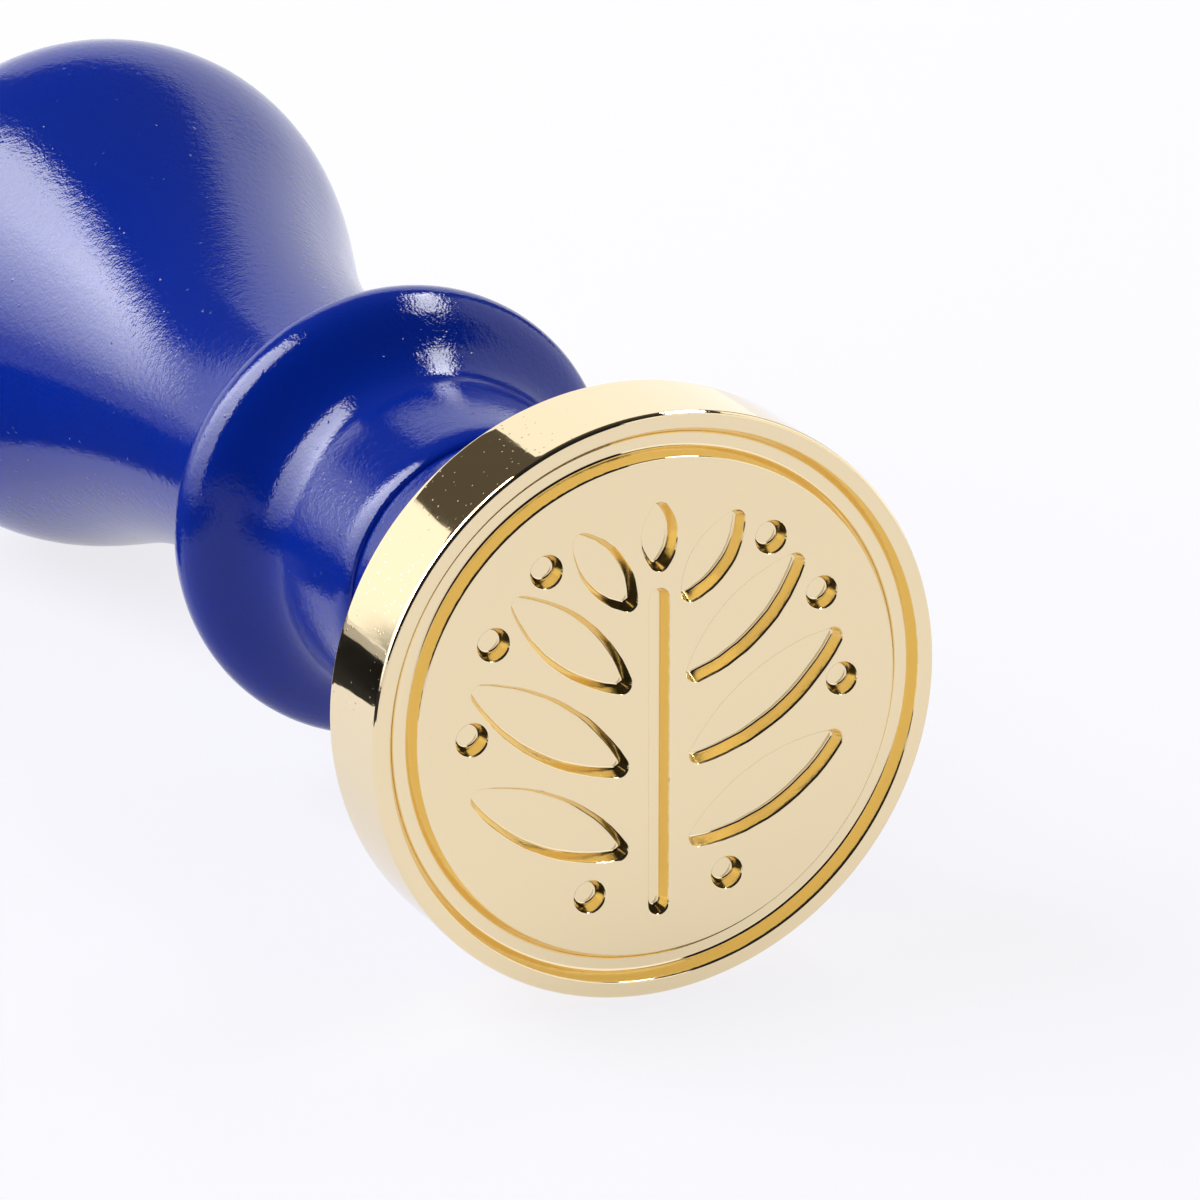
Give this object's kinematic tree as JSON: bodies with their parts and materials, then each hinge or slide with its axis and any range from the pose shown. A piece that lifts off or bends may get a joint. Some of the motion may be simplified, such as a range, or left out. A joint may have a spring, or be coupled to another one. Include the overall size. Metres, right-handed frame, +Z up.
{
  "type": "wax seal stamp",
  "caption": "Wax seal stamp lying on its side: turned blue lacquered wooden handle with a round engraved gold-plated seal head that unscrews from its foot.",
  "frame": {"origin": "on the table below the middle of the stamp, which lies on its side on the seal's rim and the handle's knob", "axes": "+Y along the stamp's axis from the seal's face to the knob, +Z up from the table, +X to the right when the face is looked at"},
  "size_m": [0.025, 0.0724, 0.025],
  "materials": {
    "gold_plate": "mirror-polished pale gold plate on brass",
    "plain_brass": "turned, unpolished",
    "blue_lacquer": "thick glossy deep-blue lacquer on turned wood"
  },
  "bodies": {
    "seal": {"seal_head": "gold_plate"},
    "insert": {"threaded_insert": "plain_brass"},
    "grip": {"handle": "blue_lacquer"}
  },
  "joints": [
    {"name": "handle_lift", "type": "slide", "parent": "seal", "child": "insert", "axis": [0, 1, 0], "range_m": [0, 0.00901]},
    {"name": "handle_unscrew", "type": "hinge", "parent": "insert", "child": "grip", "pos_m": [0, 0, 0.0125], "axis": [0, 1, 0], "range_deg": [0, 3240]}
  ],
  "couplings": [
    {"joint": "handle_lift", "follows": "handle_unscrew", "m_per_rad": 0.00015915}
  ]
}
